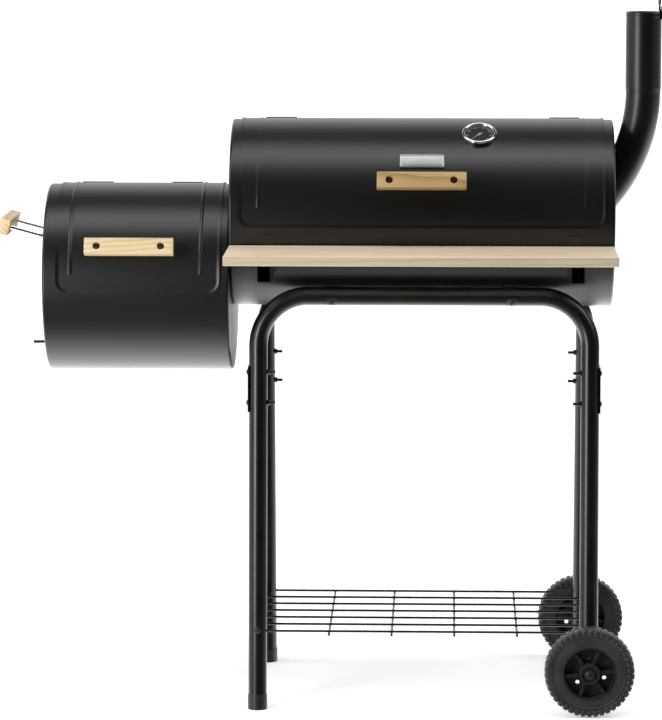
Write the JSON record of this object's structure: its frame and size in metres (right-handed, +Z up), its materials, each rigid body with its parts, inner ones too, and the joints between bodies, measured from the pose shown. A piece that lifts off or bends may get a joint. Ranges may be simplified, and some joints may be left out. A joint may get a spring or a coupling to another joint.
{
  "type": "offset smoker",
  "caption": "Charcoal barrel smoker with an offset firebox, elbow chimney with flap, tube frame on wheels, wooden front shelf and wire lower shelf.",
  "frame": {"origin": "on the floor, under the middle of the bounding box at rest", "axes": "+Z up, -Y towards the front with the wooden shelf, +X towards the chimney"},
  "size_m": [1.127, 0.588, 1.2276],
  "materials": {
    "black_paint": "satin",
    "frame_paint": "semi-gloss",
    "pine": "clear satin",
    "chrome": "polished",
    "zinc": "zinc plated",
    "black_steel": "black oxide",
    "silver_plate": "brushed",
    "dial": "matt",
    "needle": "satin",
    "glass": "clear",
    "grate_steel": "satin plated",
    "coal_grate": "matt",
    "tyre": "semi-matt",
    "wheel_plastic": "satin",
    "black_plastic": "satin"
  },
  "bodies": {
    "stand": {"main_barrel": "black_paint", "main_left_cap": "black_paint", "main_right_cap": "black_paint", "barrel_hinge_leaves": "black_steel", "main_hinge_pins": "zinc", "cooking_grate_left": "grate_steel", "cooking_grate_right": "grate_steel", "charcoal_grate": "coal_grate", "grate_rests": "black_steel", "chimney_pipe": "black_paint", "chimney_screws": "black_steel", "flap_bracket": "black_paint", "flap_pin": "zinc", "firebox_shell": "black_paint", "firebox_left_cap": "black_paint", "firebox_right_cap": "black_paint", "firebox_hinge_leaves": "black_steel", "firebox_hinge_pins": "zinc", "side_grip": "pine", "side_grip_rods": "chrome", "shutter_rivet": "zinc", "fire_grate": "coal_grate", "fire_grate_rests": "black_steel", "joining_bolts": "zinc", "front_frame": "frame_paint", "rear_frame": "frame_paint", "left_side_plate": "black_paint", "right_side_plate": "black_paint", "side_plate_bolts": "black_steel", "barrel_bolts": "black_steel", "tube_saddles": "black_plastic", "foot_caps": "black_plastic", "wheel_axle": "zinc", "axle_caps": "black_plastic", "wire_shelf": "frame_paint", "wire_shelf_bolts": "black_steel", "front_shelf": "pine", "shelf_brackets": "frame_paint", "shelf_screws": "zinc"},
    "main_lid": {"main_lid": "black_paint", "main_lid_hinge_leaves": "black_steel", "main_handle": "pine", "main_handle_spacers": "black_steel", "main_handle_screws": "zinc", "thermometer_case": "chrome", "thermometer_dial": "dial", "thermometer_glass": "glass", "name_plate": "silver_plate"},
    "needle": {"thermometer_needle": "needle"},
    "firebox_lid": {"firebox_lid": "black_paint", "firebox_lid_hinge_leaves": "black_steel", "firebox_handle": "pine", "firebox_handle_spacers": "black_steel", "firebox_handle_screws": "zinc"},
    "chimney_flap": {"chimney_flap": "black_paint"},
    "air_shutter": {"air_shutter": "black_paint"},
    "front_wheel": {"front_wheel_rim": "wheel_plastic", "front_tyre": "tyre"},
    "rear_wheel": {"rear_wheel_rim": "wheel_plastic", "rear_tyre": "tyre"}
  },
  "joints": [
    {"name": "main_lid_hinge", "type": "hinge", "parent": "stand", "child": "main_lid", "pos_m": [0.1535, 0.10897, 0.96791], "axis": [-1, 0, 0], "range_deg": [0, 110]},
    {"name": "firebox_lid_hinge", "type": "hinge", "parent": "stand", "child": "firebox_lid", "pos_m": [-0.3235, 0.10897, 0.85691], "axis": [-1, 0, 0], "range_deg": [0, 110]},
    {"name": "chimney_flap_hinge", "type": "hinge", "parent": "stand", "child": "chimney_flap", "pos_m": [0.5544, 0.04, 1.1654], "axis": [0, -1, 0], "range_deg": [0, 94]},
    {"name": "air_shutter_pivot", "type": "hinge", "parent": "stand", "child": "air_shutter", "pos_m": [-0.4795, 0.04, 0.639], "axis": [-1, 0, 0], "range_deg": [0, 45]},
    {"name": "thermometer_spindle", "type": "hinge", "parent": "main_lid", "child": "needle", "pos_m": [0.2488, -0.0455, 0.96229], "axis": [0, 0.515, -0.8572], "range_deg": [0, 270]},
    {"name": "front_wheel_spin", "type": "hinge", "parent": "stand", "child": "front_wheel", "pos_m": [0.4355, -0.186, 0.075], "axis": [0, 1, 0], "continuous": true},
    {"name": "rear_wheel_spin", "type": "hinge", "parent": "stand", "child": "rear_wheel", "pos_m": [0.4355, 0.266, 0.075], "axis": [0, 1, 0], "continuous": true}
  ]
}
